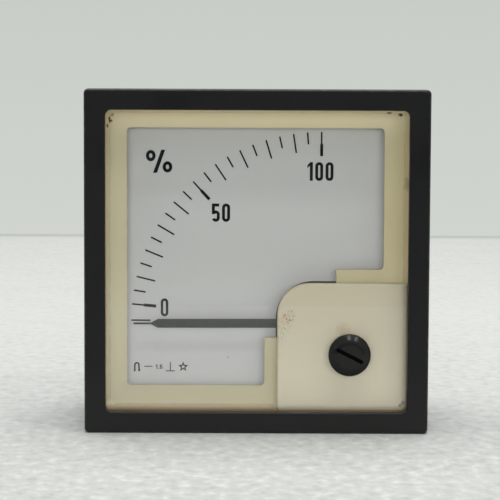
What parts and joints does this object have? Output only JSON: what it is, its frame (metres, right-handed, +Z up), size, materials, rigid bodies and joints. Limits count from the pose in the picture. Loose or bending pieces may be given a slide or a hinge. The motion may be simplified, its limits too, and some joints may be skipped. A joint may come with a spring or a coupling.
{
  "type": "analog panel meter",
  "caption": "Square panel meter with a black front frame, cream mask, quarter-circle scale, moving-coil pointer and a slotted zero adjuster.",
  "frame": {"origin": "centre of the plane where the back of the front frame meets the panel", "axes": "+X to the right as the dial is read, +Y from the dial into the panel, +Z up"},
  "size_m": [0.096, 0.0685, 0.096],
  "materials": {
    "black_plastic": "fine moulded satin",
    "housing_plastic": "fine moulded grain",
    "knob_plastic": "satin moulded",
    "cream_plastic": "aged satin moulded",
    "window": "clear pane",
    "rubber": "matt",
    "dial_paint": "matt off-white paint",
    "ink": "matt black print",
    "pointer_paint": "dark grey paint on thin sheet",
    "aluminium": "machined",
    "steel": "zinc plated",
    "brass": "turned",
    "spring_bronze": "rolled strip",
    "soft_iron": "ground",
    "magnet": "cast and ground",
    "copper": "enamelled wire",
    "jewel": "polished",
    "board": "laminate sheet",
    "resistor": "cement coated",
    "lead_cover": "insulated wire"
  },
  "bodies": {
    "meter": {"front_bezel": "black_plastic", "window_seal": "rubber", "front_window": "window", "adjuster_seal": "rubber", "scale_mask": "cream_plastic", "dial_plate": "dial_paint", "scale_marks": "ink", "dial_screws": "steel", "stop_pins": "steel", "front_bridge": "steel", "bridge_pillars": "brass", "bridge_screws": "steel", "front_jewel_screw": "brass", "front_jewel": "jewel", "core_magnet": "magnet", "core_spacers": "brass", "yoke_ring": "soft_iron", "movement_base": "aluminium", "yoke_posts": "brass", "yoke_bolts": "steel", "base_screws": "steel", "rear_jewel_screw": "brass", "rear_jewel": "jewel", "jewel_lock_nut": "brass", "spring_anchor": "brass", "rear_housing": "housing_plastic", "circuit_board": "board", "series_resistor": "resistor", "frame_lead": "lead_cover", "spring_lead": "lead_cover", "terminal_studs": "brass", "board_nuts": "brass", "fixing_nuts": "brass", "terminal_washers": "brass", "lock_washers": "steel", "terminal_nuts": "brass"},
    "coil_and_pointer": {"pointer": "pointer_paint", "pointer_hub": "aluminium", "balance_weights": "brass", "coil_former": "aluminium", "coil_winding": "copper", "front_pivot": "steel", "rear_pivot": "steel", "front_hairspring": "spring_bronze", "rear_hairspring": "spring_bronze"},
    "adjuster": {"zero_adjuster": "knob_plastic", "adjuster_clip": "steel"},
    "lever": {"zero_lever": "brass"}
  },
  "joints": [
    {"name": "pointer_swing", "type": "hinge", "parent": "meter", "child": "coil_and_pointer", "pos_m": [0.0184, 0, -0.0181], "axis": [0, 1, 0], "range_deg": [-2, 94], "stiffness_Nm_per_rad": 0.00006, "deforming": ["front_hairspring", "rear_hairspring"]},
    {"name": "zero_adjust", "type": "hinge", "parent": "meter", "child": "adjuster", "pos_m": [0.02609, 0, -0.02617], "axis": [0, 1, 0], "range_deg": [-45, 45]},
    {"name": "zero_lever_swing", "type": "hinge", "parent": "meter", "child": "lever", "pos_m": [0.0184, 0, -0.0181], "axis": [0, 1, 0], "range_deg": [-4.4, 4.4]}
  ],
  "couplings": [
    {"joint": "zero_lever_swing", "follows": "zero_adjust", "ratio": 0.0935}
  ]
}
